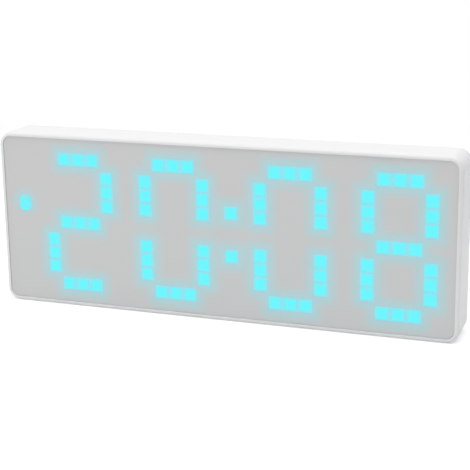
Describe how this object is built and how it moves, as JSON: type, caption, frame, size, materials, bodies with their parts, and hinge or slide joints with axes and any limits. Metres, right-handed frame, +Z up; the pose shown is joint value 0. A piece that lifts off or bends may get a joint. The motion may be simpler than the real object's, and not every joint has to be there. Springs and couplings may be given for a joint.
{
  "type": "digital led desk clock",
  "caption": "Slim white slab desk clock with a grey panel, square light cells that show the time, rear push buttons, a fold-out stand and a twist-lock battery door.",
  "frame": {"origin": "middle of the base, at mid width and mid depth", "axes": "+X to the right as seen from the front, +Y to the back, +Z up"},
  "size_m": [0.2, 0.022, 0.075],
  "materials": {
    "white_shell": "fine matt moulded",
    "button_white": "satin moulded",
    "panel_grey": "matt translucent sheet",
    "lit_cyan": "glowing",
    "adhesive": "foam tape",
    "film": "frosted film",
    "grid_white": "matt moulded",
    "board_green": "solder mask",
    "light_chip": "clear resin",
    "black_plastic": "moulded",
    "can_metal": "drawn can",
    "steel": "zinc plated",
    "contact_metal": "nickel plated",
    "cell_metal": "satin"
  },
  "bodies": {
    "case": {"housing": "white_shell", "rear_cover": "white_shell", "front_panel": "panel_grey", "lit_hour_tens": "lit_cyan", "lit_hour_units": "lit_cyan", "lit_minute_tens": "lit_cyan", "lit_minute_units": "lit_cyan", "lit_colon": "lit_cyan", "lit_alarm_sign": "lit_cyan", "panel_tape": "adhesive", "diffuser_film": "film", "light_grid": "grid_white", "light_board": "board_green", "light_chips": "light_chip", "driver_chips": "black_plastic", "buzzer": "black_plastic", "socket_core": "black_plastic", "cell_holder": "black_plastic", "switch_bases": "black_plastic", "capacitor": "can_metal", "watch_crystal": "can_metal", "board_screws": "steel", "cover_screws": "steel", "stand_pin": "steel", "socket_shell": "steel", "plus_contact": "contact_metal", "minus_contact": "contact_metal", "coin_cell": "cell_metal"},
    "mode_key": {"mode_button": "button_white", "mode_plunger": "black_plastic"},
    "alarm_key": {"alarm_button": "button_white", "alarm_plunger": "black_plastic"},
    "down_key": {"down_button": "button_white", "down_plunger": "black_plastic"},
    "up_key": {"up_button": "button_white", "up_plunger": "black_plastic"},
    "stand": {"stand_leg": "white_shell"},
    "battery_lid": {"battery_door": "white_shell"}
  },
  "joints": [
    {"name": "mode_press", "type": "slide", "parent": "case", "child": "mode_key", "axis": [0, -1, 0], "range_m": [0, 0.0006], "stiffness_N_per_m": 1500, "springref_m": -0.0002},
    {"name": "alarm_press", "type": "slide", "parent": "case", "child": "alarm_key", "axis": [0, -1, 0], "range_m": [0, 0.0006], "stiffness_N_per_m": 1500, "springref_m": -0.0002},
    {"name": "down_press", "type": "slide", "parent": "case", "child": "down_key", "axis": [0, -1, 0], "range_m": [0, 0.0006], "stiffness_N_per_m": 1500, "springref_m": -0.0002},
    {"name": "up_press", "type": "slide", "parent": "case", "child": "up_key", "axis": [0, -1, 0], "range_m": [0, 0.0006], "stiffness_N_per_m": 1500, "springref_m": -0.0002},
    {"name": "stand_fold", "type": "hinge", "parent": "case", "child": "stand", "pos_m": [0, 0.0086, 0.056], "axis": [1, 0, 0], "range_deg": [0, 30]},
    {"name": "battery_door_twist", "type": "hinge", "parent": "case", "child": "battery_lid", "pos_m": [0.068, 0.0095, 0.0375], "axis": [0, 1, 0], "range_deg": [0, 45]}
  ]
}
